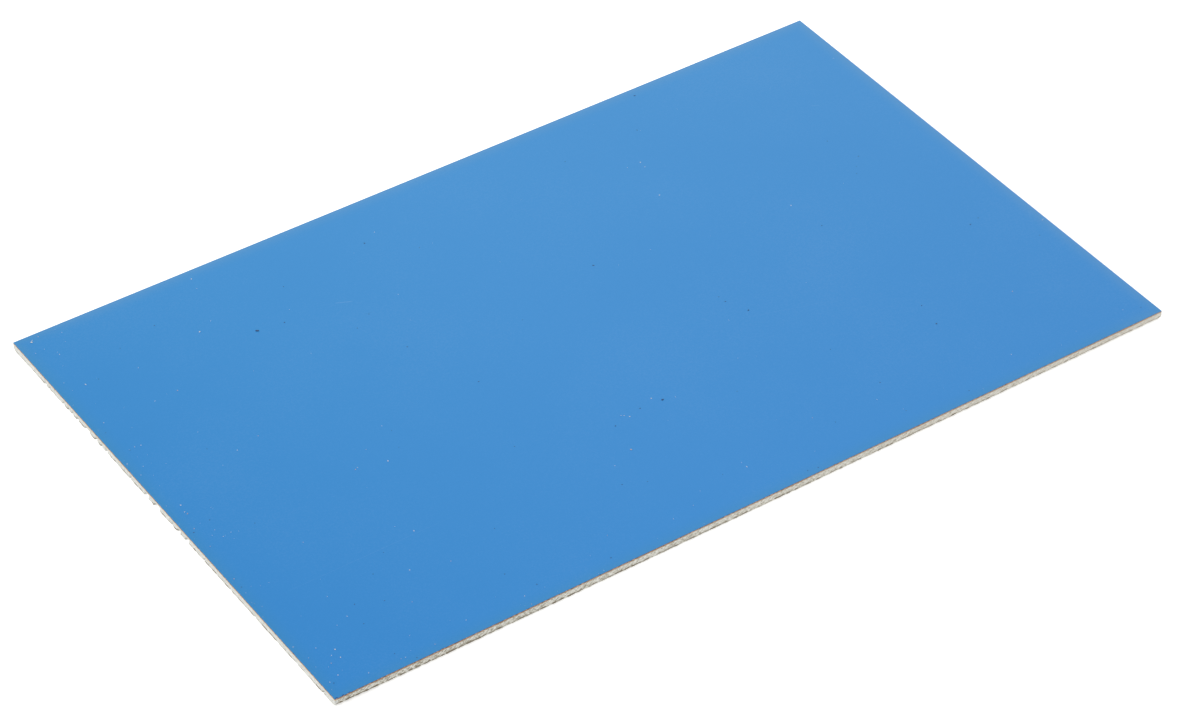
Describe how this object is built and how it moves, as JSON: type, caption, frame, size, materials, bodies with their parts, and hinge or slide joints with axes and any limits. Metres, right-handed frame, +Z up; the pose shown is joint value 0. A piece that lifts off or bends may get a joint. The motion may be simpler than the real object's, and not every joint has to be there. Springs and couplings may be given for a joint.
{
  "type": "copper clad board",
  "caption": "Rectangular single-sided copper clad laminate board with sheared edges and a blue protective film over the foil, raw stock for etched circuits.",
  "frame": {"origin": "middle of the underside, on the surface that the board lies on", "axes": "+X along the length, +Y along the width, +Z up out of the film-covered copper face"},
  "size_m": [0.16, 0.1, 0.0017],
  "materials": {
    "laminate": "glass cloth and epoxy, sheared edges matte and fibrous",
    "copper_foil": "copper foil, dull and drawn down at the sheared edge",
    "protective_film": "blue polyethylene film, softly matte"
  },
  "bodies": {
    "root": {"laminate": "laminate", "copper_foil": "copper_foil", "protective_film": "protective_film"}
  },
  "joints": []
}
